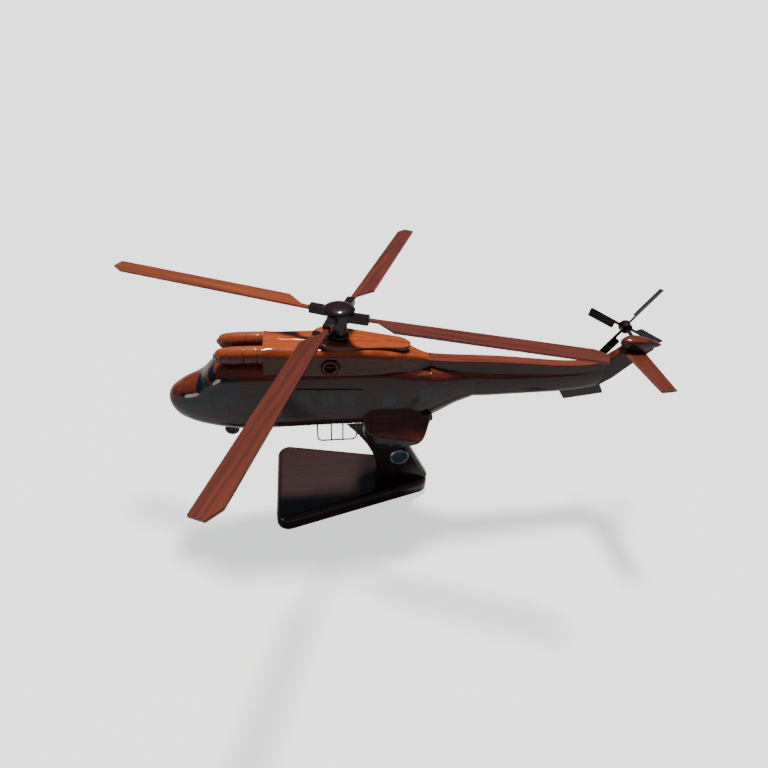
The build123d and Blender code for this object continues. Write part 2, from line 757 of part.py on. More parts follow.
# ---------------------------------------------------------------- tail pylon, fairing and surfaces
pylon_half = 4.2
pylon_top_z = 160.0         # the gearbox fairing sits on this
pylon_outline = [
    (boom_end_x, 147.3),
    (246.0, 158.9),
    (250.0, 162.0),
    (272.0, 162.0),
    (273.0, 156.6),
    (258.5, 143.0),
    (243.0, 126.5),
    (boom_end_x, 118.8),
]
tail_fairing_sections = [
    (241.9, 162.0, 162.6, 163.2, 0.5, 2.0),
    (242.8, 159.8, 162.6, 165.2, 2.9, 2.2),
    (245.5, 157.8, 162.4, 166.8, 5.0, 2.6),
    (250.0, 156.8, 162.0, 167.9, 6.5, 3.0),
    (256.0, 156.4, 161.6, 168.0, 6.8, 3.2),
    (263.0, 156.4, 161.0, 166.6, 6.0, 3.0),
    (270.0, 157.0, 160.4, 164.6, 4.4, 2.6),
    (276.5, 158.0, 159.9, 162.4, 2.5, 2.2),
    (280.6, 159.2, 159.7, 160.2, 0.6, 2.0),
]
tail_hub = Vector(254.4, 19.9, 166.7)
tail_axis = Vector(0.038, 1.0, 0.09).normalized()
tail_plane = Plane(tail_hub, x_dir=Vector(1, 0, 0) - tail_axis * tail_axis.X, z_dir=tail_axis)
tail_shaft_radius = 1.6
tail_shaft_length = 20.0    # from the hub into the fairing

with BuildPart(mode=Mode.PRIVATE) as tail_fairing_block:
    for x, *shape in tail_fairing_sections:
        with BuildSketch(Plane.YZ.offset(x)):
            with BuildLine():
                add(ring(oval(*shape)))
            make_face()
    loft()


def on_pylon_flank(edge):
    """True for the pylon's long edges behind the boom joint."""
    centre = edge.center()
    return abs(abs(centre.Y) - pylon_half) < 0.01 and centre.X > boom_end_x + 1


with BuildPart() as tail_pylon:
    with BuildSketch(Plane.XZ):
        with BuildLine():
            Polyline(*pylon_outline, close=True)
        make_face()
    extrude(amount=pylon_half, both=True)
    fillet(tail_pylon.edges().filter_by(on_pylon_flank), radius=2.2)
    add(tail_fairing_block.part, mode=Mode.SUBTRACT)
    split(bisect_by=Plane.XY.offset(pylon_top_z), keep=Keep.BOTTOM)
    add(boom_dowels.part, mode=Mode.SUBTRACT)
save(tail_pylon, "tail_pylon")

with BuildPart() as tail_gearbox:
    add(tail_fairing_block.part)
    with BuildSketch(tail_plane.offset(-tail_shaft_length)):
        Circle(tail_shaft_radius + running_gap)
    extrude(amount=reach, mode=Mode.SUBTRACT)
save(tail_gearbox, "tail_gearbox_fairing")

stabiliser_z = 155.0
# y, leading edge x, trailing edge x, thickness
stabiliser_sections = [(-2.0, 243.8, 264.6, 2.8), (-59.0, 246.8, 262.0, 2.2)]


def lens_section(front_x, rear_x, thickness):
    """Points of a lens-shaped aerofoil, along the top to the back and home underneath."""
    chord = rear_x - front_x
    upper = [(front_x + chord * s, thickness * h) for s, h in ((0.03, 0.2), (0.3, 0.5), (0.65, 0.36))]
    lower = [(x, -h) for x, h in reversed(upper)]
    return [(front_x, 0.0)] + upper + [(rear_x, 0.0)] + lower


with BuildPart() as stabiliser:
    for y, front_x, rear_x, thickness in stabiliser_sections:
        outline = lens_section(front_x, rear_x, thickness)
        with BuildSketch(Plane((0, y, stabiliser_z), x_dir=(1, 0, 0), z_dir=(0, -1, 0))):
            with BuildLine():
                Spline(*outline[:5])
                Spline(*outline[4:], outline[0])
            make_face()
    loft()
    add(tail_pylon.part, mode=Mode.SUBTRACT)
    add(tail_fairing_block.part, mode=Mode.SUBTRACT)
save(stabiliser, "stabiliser")

with BuildPart() as ventral_fin:
    with BuildSketch(Plane.XZ):
        with BuildLine():
            Polyline((194.5, 117.5), (203.9, 104.0), (241.1, 109.2), (234.0, 121.0), close=True)
        make_face()
    extrude(amount=1.5, both=True)
    add(tail_boom.part, mode=Mode.SUBTRACT)
    add(tail_pylon.part, mode=Mode.SUBTRACT)
save(ventral_fin, "ventral_fin")

# ---------------------------------------------------------------- tail rotor
tail_radius = 42.9
tail_pitch = 205.4          # turn of the blade's width about its span, in degrees
tail_first_angle = 206.6
tail_root = 2.3
tail_neck_end = 13.0
tail_blade_front = -0.7     # edges beside the radial line
tail_blade_rear = 6.5
tail_neck_rear = 1.6
tail_blade_thickness = 1.2
tail_disc_radius = 4.9
tail_disc_low = -4.4        # along the shaft from the hub's middle
tail_disc_high = 1.0
tail_cap_radius = 5.4
tail_cap_top = 5.6

with BuildPart() as tail_shaft:
    with BuildSketch(tail_plane.offset(-tail_shaft_length + 0.3)):
        Circle(tail_shaft_radius)
    extrude(amount=tail_shaft_length - 0.3 + tail_disc_high)
save(tail_shaft, "tail_shaft")

tail_blades = []
for number in range(4):
    angle = radians(tail_first_angle + 90 * number)
    span = tail_plane.x_dir * cos(angle) + tail_plane.y_dir * sin(angle)
    across = tail_axis.cross(span)
    width = across * cos(radians(tail_pitch)) + tail_axis * sin(radians(tail_pitch))
    with BuildPart() as tail_blade:
        with BuildSketch(Plane(tail_hub, x_dir=span, z_dir=span.cross(width))):
            with BuildLine():
                Polyline(
                    (tail_root, tail_blade_front),
                    (tail_radius, tail_blade_front),
                    (tail_radius, tail_blade_rear),
                    (tail_neck_end, tail_blade_rear),
                    (tail_neck_end, tail_neck_rear),
                    (tail_root, tail_neck_rear),
                    close=True,
                )
            make_face()
            notch = [v for v in vertices() if abs(v.X - tail_neck_end) < 0.1]
            fillet(notch, radius=1.5)
        extrude(amount=tail_blade_thickness / 2, both=True)
    tail_blades.append(tail_blade)
    save(tail_blade, f"tail_blade_{number + 1}")

with BuildPart() as tail_disc:
    with BuildSketch(tail_plane.offset(tail_disc_low)):
        Circle(tail_disc_radius)
    extrude(amount=tail_disc_high - tail_disc_low)
    chamfer(tail_disc.edges(), length=0.5)
    add(tail_shaft.part, mode=Mode.SUBTRACT)
    for tail_blade in tail_blades:
        add(tail_blade.part, mode=Mode.SUBTRACT)
save(tail_disc, "tail_hub_disc")

with BuildPart() as tail_cap:
    with BuildSketch(Plane(tail_hub, x_dir=tail_plane.x_dir, z_dir=tail_plane.y_dir * -1)):
        with BuildLine():
            Polyline((0.0, tail_disc_high), (tail_cap_radius, tail_disc_high), (tail_cap_radius, 2.2))
            crown = Spline((tail_cap_radius, 2.2), (4.4, 4.0), (2.4, 5.2), (0.0, tail_cap_top))
            Line(crown @ 1, (0.0, tail_disc_high))
        make_face()
    revolve(axis=Axis(tail_hub, tail_axis))
save(tail_cap, "tail_hub_cap")

# ---------------------------------------------------------------- main rotor
hub_radius = 9.25
hub_low_z = 190.3
hub_high_z = 198.0
washer_radius = 5.0
grip_root = 6.5
grip_end = 24.0
grip_front = -1.25          # edges beside the radial line, clockwise from above
grip_rear = 5.25
grip_height = 6.6
hinge_radius = 19.0         # the blades droop or rise about this radius
blade_thickness = 2.0
# radius and distance clockwise from the radial line, from the root round the tip
blade_outline = [
    (12.0, 0.1),
    (12.0, 4.0),
    (31.3, 4.0),
    (45.4, 14.6),
    (193.8, 14.8),
    (194.8, 5.3),
    (186.2, 0.2),
]
# azimuth in degrees and rise along the span, as the hand-set blades stand
blade_settings = [(157.73, 0.0136), (68.13, -0.0169), (250.74, -0.0103), (-20.6, 0.0366)]
dome_radius = 12.3
dome_top_z = 202.4
dome_edge_z = 199.2

with BuildPart() as rotor_spindle:
    with BuildSketch(Plane.XY.offset(spindle_low_z)):
        Circle(spindle_radius)
    extrude(amount=spindle_high_z - spindle_low_z)
save(rotor_spindle, "rotor_spindle")

with BuildPart() as rotor_washer:
    with BuildSketch(Plane.XY.offset(mast_top_z + rotor_gap)):
        Circle(washer_radius)
        Circle(spindle_radius, mode=Mode.SUBTRACT)
    extrude(amount=hub_low_z - mast_top_z - rotor_gap)
save(rotor_washer, "rotor_washer")

grips = []
for number, (azimuth, rise) in enumerate(blade_settings, start=1):
    along_x = cos(radians(azimuth))
    along_y = sin(radians(azimuth))
    blade_plane = Plane(
        (0, 0, rotor_height - rise * hinge_radius),
        x_dir=(along_x, along_y, rise),
        z_dir=(-rise * along_x, -rise * along_y, 1),
    )
    with BuildPart() as main_blade:
        with BuildSketch(blade_plane):
            with BuildLine():
                Polyline(*[(r, -w) for r, w in blade_outline], close=True)
            make_face()
        extrude(amount=blade_thickness / 2, both=True)
    save(main_blade, f"main_blade_{number}")

    with BuildPart() as blade_grip:
        with BuildSketch(blade_plane):
            with BuildLine():
                Polyline(
                    (grip_root, -grip_front),
                    (grip_end, -grip_front),
                    (grip_end, -grip_rear),
                    (grip_root, -grip_rear),
                    close=True,
                )
            make_face()
        extrude(amount=grip_height / 2, both=True)
        chamfer(blade_grip.edges(), length=0.4)
        add(main_blade.part, mode=Mode.SUBTRACT)
    grips.append(blade_grip)
    save(blade_grip, f"blade_grip_{number}")

with BuildPart() as rotor_hub:
    with BuildSketch(Plane.XY.offset(hub_low_z)):
        Circle(hub_radius)
    extrude(amount=hub_high_z - hub_low_z)
    for blade_grip in grips:
        add(blade_grip.part, mode=Mode.SUBTRACT)
    add(rotor_spindle.part, mode=Mode.SUBTRACT)
save(rotor_hub, "rotor_hub")

with BuildPart() as hub_dome:
    with BuildSketch(Plane.XZ):
        with BuildLine():
            Polyline((0, hub_high_z), (11.0, hub_high_z), (dome_radius, dome_edge_z))
            crown = Spline((dome_radius, dome_edge_z), (9.6, 201.1), (5.5, 202.1), (0, dome_top_z))
            Line(crown @ 1, (0, hub_high_z))
        make_face()
    revolve(axis=Axis.Z)
    for blade_grip in grips:
        add(blade_grip.part, mode=Mode.SUBTRACT)
save(hub_dome, "hub_dome")
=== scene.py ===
# %% [markdown]
# # A varnished wooden helicopter, lesson by lesson
# The object is a desk model of a transport helicopter, carved from mahogany and varnished until it
# shines. The CAD model gives every part its true shape and place. This lesson gives those parts
# their looks: wood that follows the way each block was sawn, a thick clear varnish, inlaid glazing,
# lacquered metalwork and a plain studio around it. All lengths are in metres.

import json
import math

import bmesh
import bpy
from mathutils import Matrix, Vector

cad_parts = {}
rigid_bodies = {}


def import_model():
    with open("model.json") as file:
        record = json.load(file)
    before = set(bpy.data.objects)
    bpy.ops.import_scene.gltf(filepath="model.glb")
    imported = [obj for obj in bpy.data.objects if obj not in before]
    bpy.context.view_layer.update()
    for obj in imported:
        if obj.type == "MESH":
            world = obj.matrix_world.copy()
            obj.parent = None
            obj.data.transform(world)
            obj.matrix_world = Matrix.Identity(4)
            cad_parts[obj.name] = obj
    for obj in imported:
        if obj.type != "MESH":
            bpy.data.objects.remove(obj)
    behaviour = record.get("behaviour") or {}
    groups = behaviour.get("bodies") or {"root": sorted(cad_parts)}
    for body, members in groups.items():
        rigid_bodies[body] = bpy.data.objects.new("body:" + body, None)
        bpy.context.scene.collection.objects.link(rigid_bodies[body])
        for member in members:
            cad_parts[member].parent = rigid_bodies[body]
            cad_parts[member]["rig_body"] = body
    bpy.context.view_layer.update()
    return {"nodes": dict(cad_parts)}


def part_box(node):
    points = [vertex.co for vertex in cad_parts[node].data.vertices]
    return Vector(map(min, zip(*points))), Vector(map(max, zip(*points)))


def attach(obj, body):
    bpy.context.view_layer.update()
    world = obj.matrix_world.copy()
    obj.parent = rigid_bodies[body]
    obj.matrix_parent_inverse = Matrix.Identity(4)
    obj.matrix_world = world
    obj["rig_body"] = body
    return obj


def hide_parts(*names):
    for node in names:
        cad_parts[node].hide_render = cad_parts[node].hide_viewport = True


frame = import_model()
nodes = frame["nodes"]
MM = 0.001

# %% [markdown]
# ## Camera
# The camera stands close to the port side, a little ahead of the rotor mast, and looks down. A
# wide lens from close by makes the near blade large and the tail small, so the distance matters as
# much as the angle. The three angles turn a basis by hand, because the small roll about the line of
# sight is easiest to read as its own number.

# %% Place the camera
CAMERA_PLACE = Vector((-0.01594, -0.33681, 0.38866))
CAMERA_AZIMUTH = math.radians(-11.08)
CAMERA_ELEVATION = math.radians(36.91)
CAMERA_ROLL = math.radians(4.74)
LENS = 23.93
SENSOR = 36.0
SHIFT = (-0.01964, -0.00536)


def camera_matrix(place, azimuth, elevation, roll):
    """World matrix of a camera that looks at the model from those angles, turned by roll."""
    back = Vector(
        (
            math.sin(azimuth) * math.cos(elevation),
            -math.cos(azimuth) * math.cos(elevation),
            math.sin(elevation),
        )
    )
    level = Vector((0, 0, 1)).cross(back).normalized()
    upright = back.cross(level)
    right = level * math.cos(roll) + upright * math.sin(roll)
    up = upright * math.cos(roll) - level * math.sin(roll)
    turn = Matrix((right, up, back)).transposed().to_4x4()
    return Matrix.Translation(place) @ turn


camera_data = bpy.data.cameras.new("camera")
camera_data.sensor_width = SENSOR
camera_data.lens = LENS
camera_data.shift_x, camera_data.shift_y = SHIFT
camera_data.clip_start = 0.01
camera = bpy.data.objects.new("camera", camera_data)
camera.matrix_world = camera_matrix(CAMERA_PLACE, CAMERA_AZIMUTH, CAMERA_ELEVATION, CAMERA_ROLL)
bpy.context.scene.collection.objects.link(camera)
bpy.context.scene.camera = camera
print("camera at", [round(v, 3) for v in CAMERA_PLACE])

# %% [markdown]
# ## Studio
# Varnish shows its surroundings, so the studio is part of the finish. The main light stands high
# behind the model. It is soft, but narrow enough to put short bright streaks on everything round.
# A weak fill comes from ahead of the nose. The floor and the room look pale to the camera and
# darker to reflections. A floor that mirrored at full brightness would turn the dark flanks grey.

# %% Floor, room and lights
FLOOR_HALF = 80.0


def flat_square(name, half, height):
    """A square plane as a new object."""
    mesh = bpy.data.meshes.new(name)
    corners = [(-half, -half, height), (half, -half, height), (half, half, height), (-half, half, height)]
    mesh.from_pydata(corners, [], [(0, 1, 2, 3)])
    piece = bpy.data.objects.new(name, mesh)
    bpy.context.scene.collection.objects.link(piece)
    return piece


def add_light(name, kind, place, target, energy, size, colour):
    """An area or sun light at a place, aimed at a target."""
    data = bpy.data.lights.new(name, kind)
    data.energy = energy
    data.color = colour
    if kind == "SUN":
        data.angle = size
    else:
        data.shape = "DISK"
        data.size = size
    lamp = bpy.data.objects.new(name, data)
    aim = (Vector(target) - Vector(place)).to_track_quat("-Z", "Y")
    lamp.matrix_world = Matrix.Translation(place) @ aim.to_matrix().to_4x4()
    bpy.context.scene.collection.objects.link(lamp)
    return lamp


MODEL_HEART = (0.02, 0.0, 0.15)
floor = flat_square("studio_floor", FLOOR_HALF, 0.0)
SUN_PLACE = (0.10, 0.55, 1.45)
SUN_STRENGTH = 4.2
SUN_SPREAD = math.radians(9)
FILL_PLACE = (-1.6, -1.2, 0.35)
FILL_POWER = 3.0
FILL_SIZE = 0.5
WARM = (1.0, 0.96, 0.90)
add_light("soft_overhead", "SUN", SUN_PLACE, MODEL_HEART, SUN_STRENGTH, SUN_SPREAD, WARM)
add_light("front_fill", "AREA", FILL_PLACE, MODEL_HEART, FILL_POWER, FILL_SIZE, WARM)

world = bpy.data.worlds.new("slate_room")
bpy.context.scene.world = world
world.use_nodes = True
room = world.node_tree
room.nodes.clear()
direction = room.nodes.new("ShaderNodeTexCoord")
split = room.nodes.new("ShaderNodeSeparateXYZ")
ramp = room.nodes.new("ShaderNodeValToRGB")
background = room.nodes.new("ShaderNodeBackground")
room_out = room.nodes.new("ShaderNodeOutputWorld")
ramp.color_ramp.elements[0].position = 0.0
ramp.color_ramp.elements[0].color = (0.40, 0.40, 0.42, 1)
ramp.color_ramp.elements[1].position = 1.0
ramp.color_ramp.elements[1].color = (0.14, 0.14, 0.16, 1)
ROOM_BANDS = (
    (0.04, (0.30, 0.30, 0.32, 1)),
    (0.16, (0.05, 0.06, 0.08, 1)),
    (0.62, (0.07, 0.12, 0.18, 1)),
)
for position, colour in ROOM_BANDS:
    stop = ramp.color_ramp.elements.new(position)
    stop.color = colour
room.links.new(direction.outputs["Generated"], split.inputs[0])
room.links.new(split.outputs["Z"], ramp.inputs["Fac"])
seen = room.nodes.new("ShaderNodeLightPath")
backdrop = room.nodes.new("ShaderNodeMix")
backdrop.data_type = "RGBA"
backdrop.inputs[7].default_value = (2.2, 2.2, 2.2, 1)
room.links.new(seen.outputs["Is Camera Ray"], backdrop.inputs[0])
room.links.new(ramp.outputs["Color"], backdrop.inputs[6])
room.links.new(backdrop.outputs[2], background.inputs["Color"])
background.inputs["Strength"].default_value = 1.0
room.links.new(background.outputs[0], room_out.inputs["Surface"])

# %% [markdown]
# ## Wood grain as a node group
# Mahogany shows three things at three sizes: broad ribbons a few millimetres wide that run the
# length of the board, fine dark pores a few tenths of a millimetre wide, and slow changes of tone.
# Each is a noise texture stretched along the grain. They sit in one group, so that every material
# uses the same wood with its own colours. Coordinates go in as millimetres along and across the
# grain, and the group gives a colour, a roughness and a height.

# %% Build the grain group


def new_group(name, inputs, outputs):
    """An empty shader node group with those (name, type, default) inputs and (name, type) outputs."""
    group = bpy.data.node_groups.new(name, "ShaderNodeTree")
    for label, kind, default in inputs:
        socket = group.interface.new_socket(label, in_out="INPUT", socket_type=kind)
        if default is not None:
            socket.default_value = default
    for label, kind in outputs:
        group.interface.new_socket(label, in_out="OUTPUT", socket_type=kind)
    return group, group.nodes.new("NodeGroupInput"), group.nodes.new("NodeGroupOutput")


def stretched_noise(tree, source, stretch, detail, roughness=0.55):
    """A noise texture whose coordinates are scaled by stretch along X, Y and Z."""
    mapping = tree.nodes.new("ShaderNodeMapping")
    mapping.inputs["Scale"].default_value = stretch
    noise = tree.nodes.new("ShaderNodeTexNoise")
    noise.inputs["Scale"].default_value = 1.0
    noise.inputs["Detail"].default_value = detail
    noise.inputs["Roughness"].default_value = roughness
    tree.links.new(source, mapping.inputs["Vector"])
    tree.links.new(mapping.outputs["Vector"], noise.inputs["Vector"])
    return noise.outputs["Fac"]


def remap(tree, source, low, high, to_low=0.0, to_high=1.0):
    """Spreads the values between low and high over to_low and to_high."""
    node = tree.nodes.new("ShaderNodeMapRange")
    node.interpolation_type = "SMOOTHSTEP"
    node.inputs["From Min"].default_value = low
    node.inputs["From Max"].default_value = high
    node.inputs["To Min"].default_value = to_low
    node.inputs["To Max"].default_value = to_high
    tree.links.new(source, node.inputs["Value"])
    return node.outputs["Result"]


def mix_colour(tree, factor, first, second, blend="MIX"):
    """Mixes two colours or sockets; factor may be a number or a socket."""
    node = tree.nodes.new("ShaderNodeMix")
    node.data_type = "RGBA"
    node.blend_type = blend
    for value, socket in ((factor, node.inputs[0]), (first, node.inputs[6]), (second, node.inputs[7])):
        if isinstance(value, bpy.types.NodeSocket):
            tree.links.new(value, socket)
        else:
            socket.default_value = value
    return node.outputs[2]


def math_node(tree, operation, first, second):
    """One arithmetic step between sockets or numbers."""
    node = tree.nodes.new("ShaderNodeMath")
    node.operation = operation
    for value, socket in ((first, node.inputs[0]), (second, node.inputs[1])):
        if isinstance(value, bpy.types.NodeSocket):
            tree.links.new(value, socket)
        else:
            socket.default_value = value
    return node.outputs[0]


grain_group, grain_in, grain_out = new_group(
    "mahogany_grain",
    [
        ("Vector", "NodeSocketVector", None),
        ("Light Wood", "NodeSocketColor", (0.40, 0.14, 0.06, 1)),
        ("Dark Wood", "NodeSocketColor", (0.16, 0.05, 0.03, 1)),
        ("Pore Depth", "NodeSocketFloat", 0.6),
    ],
    [("Color", "NodeSocketColor"), ("Roughness", "NodeSocketFloat"), ("Height", "NodeSocketFloat")],
)
along = grain_in.outputs["Vector"]
ribbon = stretched_noise(grain_group, along, (0.010, 0.30, 0.30), 3.0)
fleck = stretched_noise(grain_group, along, (0.035, 1.10, 1.10), 4.0, 0.65)
tone = stretched_noise(grain_group, along, (0.006, 0.045, 0.045), 2.0)
pore = stretched_noise(grain_group, along, (0.22, 3.6, 3.6), 2.0)
ribbon_mask = remap(grain_group, ribbon, 0.34, 0.66)
fleck_mask = remap(grain_group, fleck, 0.36, 0.66)
tone_mask = remap(grain_group, tone, 0.35, 0.65)
pore_mask = remap(grain_group, pore, 0.60, 0.72)
figure = math_node(
    grain_group,
    "ADD",
    math_node(grain_group, "MULTIPLY", ribbon_mask, 0.45),
    math_node(grain_group, "ADD",
              math_node(grain_group, "MULTIPLY", fleck_mask, 0.30),
              math_node(grain_group, "MULTIPLY", tone_mask, 0.25)),
)
wood = mix_colour(grain_group, figure, grain_in.outputs["Dark Wood"], grain_in.outputs["Light Wood"])
pore_strength = math_node(grain_group, "MULTIPLY", pore_mask, grain_in.outputs["Pore Depth"])
pored = mix_colour(grain_group, pore_strength, wood, (0.02, 0.008, 0.006, 1))
grain_group.links.new(pored, grain_out.inputs["Color"])
grain_group.links.new(remap(grain_group, figure, 0.0, 1.0, 0.42, 0.30), grain_out.inputs["Roughness"])
grain_group.links.new(math_node(grain_group, "SUBTRACT", figure, pore_strength), grain_out.inputs["Height"])
print("grain group nodes:", len(grain_group.nodes))

# %% [markdown]
# ## Handling marks as a second group
# A varnished model is never perfectly clean. A faint, slow change of gloss says that it has been
# dusted and picked up. The same small group feeds the roughness of every lacquer.

# %% Build the handling group
handling_group, handling_in, handling_out = new_group(
    "handling_marks",
    [("Vector", "NodeSocketVector", None), ("Clean Roughness", "NodeSocketFloat", 0.1),
     ("Dull Roughness", "NodeSocketFloat", 0.2)],
    [("Roughness", "NodeSocketFloat"), ("Mask", "NodeSocketFloat")],
)
smudge = stretched_noise(handling_group, handling_in.outputs["Vector"], (0.05, 0.05, 0.05), 5.0, 0.6)
smudge_mask = remap(handling_group, smudge, 0.40, 0.70)
spread = math_node(handling_group, "SUBTRACT", handling_in.outputs["Dull Roughness"],
                   handling_in.outputs["Clean Roughness"])
marked = math_node(handling_group, "MULTIPLY", smudge_mask, spread)
handling_group.links.new(
    math_node(handling_group, "ADD", marked, handling_in.outputs["Clean Roughness"]),
    handling_out.inputs["Roughness"],
)
handling_group.links.new(smudge_mask, handling_out.inputs["Mask"])
print("handling group nodes:", len(handling_group.nodes))

# %% [markdown]
# ## Materials
# The varnish is the coat of the Principled shader: it stays smooth while the wood under it has its
# own roughness and grain. The flanks of the airframe are painted darker than the faces that look
# up, as painted shade, worked out from the direction that the surface faces. Only parts that never
# turn get that painted shade, because it would slide over a part that does. Each wood material turns
# the coordinates so that the grain runs the way the piece was sawn: along the fuselage, along each
# blade, upright in the stand.

# %% Wood, glazing and metal materials
TO_MILLIMETRES = (1000.0, 1000.0, 1000.0)
VARNISH_IOR = 1.45


def new_material(name):
    """A material with an empty tree that holds a Principled shader."""
    material = bpy.data.materials.new(name)
    material.use_nodes = True
    tree = material.node_tree
    tree.nodes.clear()
    shader = tree.nodes.new("ShaderNodeBsdfPrincipled")
    out = tree.nodes.new("ShaderNodeOutputMaterial")
    tree.links.new(shader.outputs[0], out.inputs["Surface"])
    return material, tree, shader


def object_millimetres(tree, turn=(0, 0, 0), shift=(0, 0, 0)):
    """Object coordinates in millimetres, turned and shifted."""
    coordinates = tree.nodes.new("ShaderNodeTexCoord")
    mapping = tree.nodes.new("ShaderNodeMapping")
    mapping.inputs["Rotation"].default_value = turn
    mapping.inputs["Location"].default_value = shift
    mapping.inputs["Scale"].default_value = TO_MILLIMETRES
    tree.links.new(coordinates.outputs["Object"], mapping.inputs["Vector"])
    return mapping.outputs["Vector"]


def add_bump(tree, shader, height, distance, strength=1.0):
    """Feeds a height into the shader's normal; distance is in metres."""
    bump = tree.nodes.new("ShaderNodeBump")
    bump.inputs["Distance"].default_value = distance
    bump.inputs["Strength"].default_value = strength
    tree.links.new(height, bump.inputs["Height"])
    tree.links.new(bump.outputs["Normal"], shader.inputs["Normal"])


def paint_flank_shade(tree, colour, painted_shade):
    """Multiplies a colour by a painted shade wherever the surface does not face up."""
    geometry = tree.nodes.new("ShaderNodeNewGeometry")
    facing = tree.nodes.new("ShaderNodeSeparateXYZ")
    tree.links.new(geometry.outputs["Normal"], facing.inputs[0])
    # Painted shade: full where the surface faces sideways or down, none where it faces up.
    flank_shade_mask = remap(tree, facing.outputs["Z"], 0.10, 0.85, 1.0, 0.0)
    return mix_colour(tree, flank_shade_mask, colour, (*painted_shade, 1), "MULTIPLY")


def varnished_wood(name, light, dark, turn=(0, 0, 0), shift=(0, 0, 0), pores=0.6, coat=1.0, gloss=0.03,
                   painted_shade=None):
    """Wood with grain along the turned X axis, under clear varnish, with painted shade on its flanks if
    asked.
    """
    material, tree, shader = new_material(name)
    vector = object_millimetres(tree, turn, shift)
    grain = tree.nodes.new("ShaderNodeGroup")
    grain.node_tree = grain_group
    grain.inputs["Light Wood"].default_value = (*light, 1)
    grain.inputs["Dark Wood"].default_value = (*dark, 1)
    grain.inputs["Pore Depth"].default_value = pores
    tree.links.new(vector, grain.inputs["Vector"])
    colour = grain.outputs["Color"]
    if painted_shade:
        colour = paint_flank_shade(tree, colour, painted_shade)
    tree.links.new(colour, shader.inputs["Base Color"])
    tree.links.new(grain.outputs["Roughness"], shader.inputs["Roughness"])
    add_bump(tree, shader, grain.outputs["Height"], 0.00004)
    shader.inputs["Specular IOR Level"].default_value = 0.08
    shader.inputs["Coat Weight"].default_value = coat
    shader.inputs["Coat Roughness"].default_value = gloss
    shader.inputs["Coat IOR"].default_value = VARNISH_IOR
    return material


def lacquer(name, colour, clean, dull, metallic=0.0, coat=1.0):
    """A plain glossy finish with handling marks."""
    material, tree, shader = new_material(name)
    vector = object_millimetres(tree)
    marks = tree.nodes.new("ShaderNodeGroup")
    marks.node_tree = handling_group
    marks.inputs["Clean Roughness"].default_value = clean
    marks.inputs["Dull Roughness"].default_value = dull
    tree.links.new(vector, marks.inputs["Vector"])
    tree.links.new(marks.outputs["Roughness"], shader.inputs["Roughness"])
    lighter = tuple(channel * 1.5 + 0.004 for channel in colour)
    tint = mix_colour(tree, marks.outputs["Mask"], (*colour, 1), (*lighter, 1))
    tree.links.new(tint, shader.inputs["Base Color"])
    shader.inputs["Metallic"].default_value = metallic
    shader.inputs["Specular IOR Level"].default_value = 0.12
    shader.inputs["Coat Weight"].default_value = coat
    shader.inputs["Coat Roughness"].default_value = 0.03
    shader.inputs["Coat IOR"].default_value = VARNISH_IOR
    return material


AMBER = (0.62, 0.115, 0.022)
AMBER_DARK = (0.26, 0.035, 0.010)
# The body's brown is darker than the cowl's amber, partly as painted shade for the cabin's sides.
BROWN = (0.27, 0.050, 0.020)
BROWN_DARK = (0.10, 0.018, 0.010)
NIGHT = (0.030, 0.007, 0.009)
NIGHT_DARK = (0.010, 0.003, 0.005)
# Tint that paints shade on the flanks of the airframe.
FLANK_SHADE = (0.14, 0.18, 0.30)
UPRIGHT_GRAIN = (0, math.radians(90), 0)

body_wood = varnished_wood("body_mahogany", BROWN, BROWN_DARK, shift=(0, 7, 3), painted_shade=FLANK_SHADE)
cowl_wood = varnished_wood("cowl_mahogany", AMBER, AMBER_DARK, shift=(40, 2, 11), pores=0.7, painted_shade=FLANK_SHADE)
# The nacelles get a lighter painted shade on their flanks.
nacelle_wood = varnished_wood("nacelle_mahogany", (0.55, 0.12, 0.035), (0.26, 0.05, 0.018),
                              shift=(90, 21, 5), pores=0.85, painted_shade=(0.25, 0.25, 0.35))
# Darker than the body wood as painted shade, for the fuselage's shadow over the sponsons.
shaded_sponson_wood = varnished_wood("sponson_mahogany_painted_shade", (0.15, 0.030, 0.014), (0.045, 0.010, 0.007),
                              shift=(22, 9, 14), painted_shade=FLANK_SHADE)
spine_wood = varnished_wood("spine_mahogany", (0.32, 0.065, 0.026), (0.12, 0.022, 0.012),
                            shift=(15, 33, 8), painted_shade=FLANK_SHADE)
tail_wood = varnished_wood("tail_mahogany", (0.24, 0.045, 0.020), (0.08, 0.014, 0.009),
                           shift=(65, 12, 27), painted_shade=FLANK_SHADE)
stabiliser_wood = varnished_wood("stabiliser_mahogany", (0.26, 0.050, 0.020), (0.09, 0.018, 0.010),
                                 turn=(0, 0, math.radians(90)), shift=(8, 3, 1), gloss=0.06)
stand_wood = varnished_wood("stand_mahogany", (0.050, 0.011, 0.009), (0.014, 0.004, 0.005),
                            shift=(5, 50, 9), gloss=0.0)
upright_wood = varnished_wood("upright_mahogany", (0.035, 0.010, 0.009), (0.012, 0.005, 0.005),
                              turn=UPRIGHT_GRAIN)
night_wood = varnished_wood("night_mahogany", NIGHT, NIGHT_DARK, pores=0.4, coat=0.7)
cap_wood = varnished_wood("cap_mahogany", (0.15, 0.030, 0.014), (0.05, 0.010, 0.007), pores=0.4)
tail_blade_wood = varnished_wood("tail_blade_mahogany", (0.040, 0.014, 0.010), (0.016, 0.006, 0.005),
                                 pores=0.4, coat=0.35, gloss=0.10)
dowel_wood = varnished_wood("plain_beech", (0.62, 0.42, 0.26), (0.50, 0.32, 0.18), pores=0.3, coat=0.0)
glazing = lacquer("inlaid_glazing", (0.004, 0.010, 0.016), 0.08, 0.16)
black_gloss = lacquer("black_lacquer", (0.006, 0.006, 0.008), 0.10, 0.20)
wheel_black = lacquer("wheel_black", (0.010, 0.012, 0.015), 0.22, 0.35, coat=0.5)
wire_metal = lacquer("lacquered_wire", (0.010, 0.009, 0.010), 0.18, 0.32, coat=0.6)
